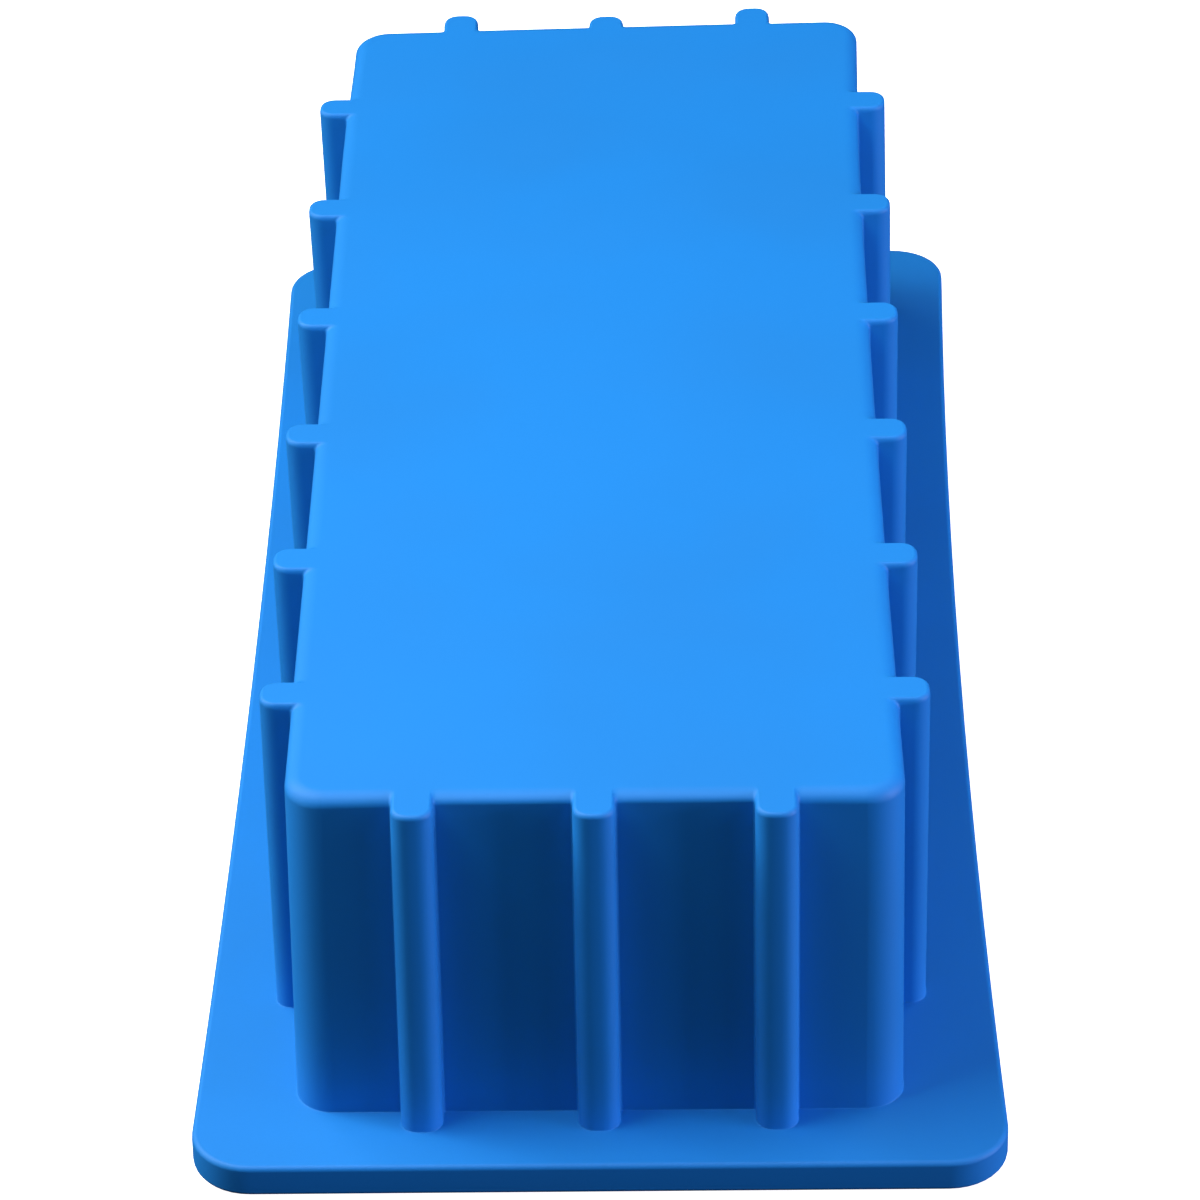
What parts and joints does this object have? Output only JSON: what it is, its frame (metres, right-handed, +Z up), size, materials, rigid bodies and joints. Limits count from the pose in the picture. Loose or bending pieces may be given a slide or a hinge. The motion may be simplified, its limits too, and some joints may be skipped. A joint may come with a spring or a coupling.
{
  "type": "silicone loaf soap mould",
  "caption": "Flexible rectangular loaf mould for soap, upside down on its wide flat rim, with upright stiffening ribs round its walls.",
  "frame": {"origin": "centre of the rim's flat face, which lies on the ground while the mould stands upside down", "axes": "+Z up out of the mould's floor, so the cavity opens along -Z; Y along the loaf; X across it"},
  "size_m": [0.1154, 0.252, 0.06],
  "materials": {
    "silicone": "satin, as moulded"
  },
  "bodies": {
    "root": {"tub": "silicone", "rim": "silicone", "rib_back_1": "silicone", "rib_back_2": "silicone", "rib_back_3": "silicone", "rib_front_1": "silicone", "rib_front_2": "silicone", "rib_front_3": "silicone", "rib_left_1": "silicone", "rib_left_2": "silicone", "rib_left_3": "silicone", "rib_left_4": "silicone", "rib_left_5": "silicone", "rib_left_6": "silicone", "rib_right_1": "silicone", "rib_right_2": "silicone", "rib_right_3": "silicone", "rib_right_4": "silicone", "rib_right_5": "silicone", "rib_right_6": "silicone"}
  },
  "joints": []
}
